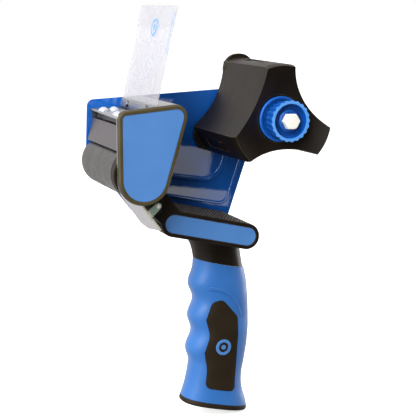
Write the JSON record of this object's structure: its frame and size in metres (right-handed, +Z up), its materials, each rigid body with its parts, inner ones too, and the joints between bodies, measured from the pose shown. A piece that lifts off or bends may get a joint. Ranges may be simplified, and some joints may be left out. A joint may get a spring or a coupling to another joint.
{
  "type": "tape gun dispenser",
  "caption": "Pistol-grip packing tape dispenser with a three-armed core hub and brake knob, rubber roller, sprung blade guard, clear flap and finger-shaped grip.",
  "frame": {"origin": "hub axis where it meets the inner face of the side plate", "axes": "+X back from the roller towards the hub, +Y out through the side plate along the hub axis, +Z up with the grip hanging down"},
  "size_m": [0.1612, 0.0967, 0.3006],
  "materials": {
    "blue_enamel": "glossy deep blue powder coat",
    "zinc_steel": "bright zinc plate",
    "grey_steel": "satin dark grey",
    "bright_steel": "ground steel",
    "blade_steel": "hardened strip steel",
    "spring_steel": "drawn spring wire",
    "black_plastic": "fine textured black",
    "black_rim": "satin black",
    "dark_panel": "matt brown-black",
    "light_blue_inlay": "satin light blue",
    "blue_plastic": "glossy blue",
    "grip_rubber": "soft-touch blue",
    "roller_rubber": "smooth dark grey",
    "nylon_bush": "natural nylon",
    "fibre_washer": "red-brown fibre",
    "clear_sheet": "clear flexible sheet"
  },
  "bodies": {
    "frame": {"side_plate": "blue_enamel", "frame_rivets": "zinc_steel", "hub_spindle": "zinc_steel", "far_washer": "fibre_washer", "pressure_washer": "blue_plastic", "brake_spring": "spring_steel", "head_bracket": "zinc_steel", "head_cover": "black_rim", "cover_inlay": "light_blue_inlay", "guide_panel": "grey_steel", "deck_rivets": "zinc_steel", "roller_axle": "bright_steel", "roller_washers": "nylon_bush", "handle_core": "black_plastic", "blade": "blade_steel", "blade_clamp": "zinc_steel", "blade_screws": "zinc_steel", "guard_pin": "bright_steel", "guard_spring": "spring_steel", "body_inlay": "light_blue_inlay", "handle_screws": "zinc_steel", "grip_sleeve": "grip_rubber", "grip_panel_near": "dark_panel", "grip_panel_far": "dark_panel", "grip_emblem": "light_blue_inlay", "end_cap": "dark_panel", "end_cap_screw": "zinc_steel", "flap_base": "clear_sheet", "flap_clamp": "zinc_steel", "clamp_screws": "zinc_steel"},
    "hub": {"core_hub": "black_plastic", "core_fingers": "black_plastic", "hub_bushes": "nylon_bush"},
    "thrust": {"thrust_washer": "zinc_steel"},
    "knob": {"tension_knob": "blue_plastic", "tension_bolt": "zinc_steel"},
    "roller": {"roller_core": "black_plastic", "roller_sleeve": "roller_rubber"},
    "guard": {"blade_guard": "zinc_steel"},
    "flap": {"tape_flap": "clear_sheet"}
  },
  "joints": [
    {"name": "hub_spin", "type": "hinge", "parent": "frame", "child": "hub", "pos_m": [0, 0, 0], "axis": [0, 1, 0], "continuous": true},
    {"name": "roller_spin", "type": "hinge", "parent": "frame", "child": "roller", "pos_m": [-0.105, 0, -0.032], "axis": [0, 1, 0], "continuous": true},
    {"name": "brake_travel", "type": "slide", "parent": "frame", "child": "thrust", "axis": [0, 1, 0], "range_m": [-0.00101, 0.00101], "deforming": ["brake_spring"]},
    {"name": "knob_turn", "type": "hinge", "parent": "thrust", "child": "knob", "pos_m": [0, -0.085, 0], "axis": [0, 1, 0], "range_deg": [-360, 360]},
    {"name": "guard_swing", "type": "hinge", "parent": "frame", "child": "guard", "pos_m": [-0.088, -0.037, -0.056], "axis": [0, -1, 0], "range_deg": [0, 7], "stiffness_Nm_per_rad": 0.2, "springref_deg": -9.74, "deforming": ["guard_spring"]},
    {"name": "flap_bend", "type": "hinge", "parent": "frame", "child": "flap", "pos_m": [-0.09063, -0.0405, 0.0124], "axis": [0, 1, 0], "range_deg": [-25, 30], "stiffness_Nm_per_rad": 0.02}
  ],
  "couplings": [
    {"joint": "brake_travel", "follows": "knob_turn", "m_per_rad": 0.00015915}
  ]
}
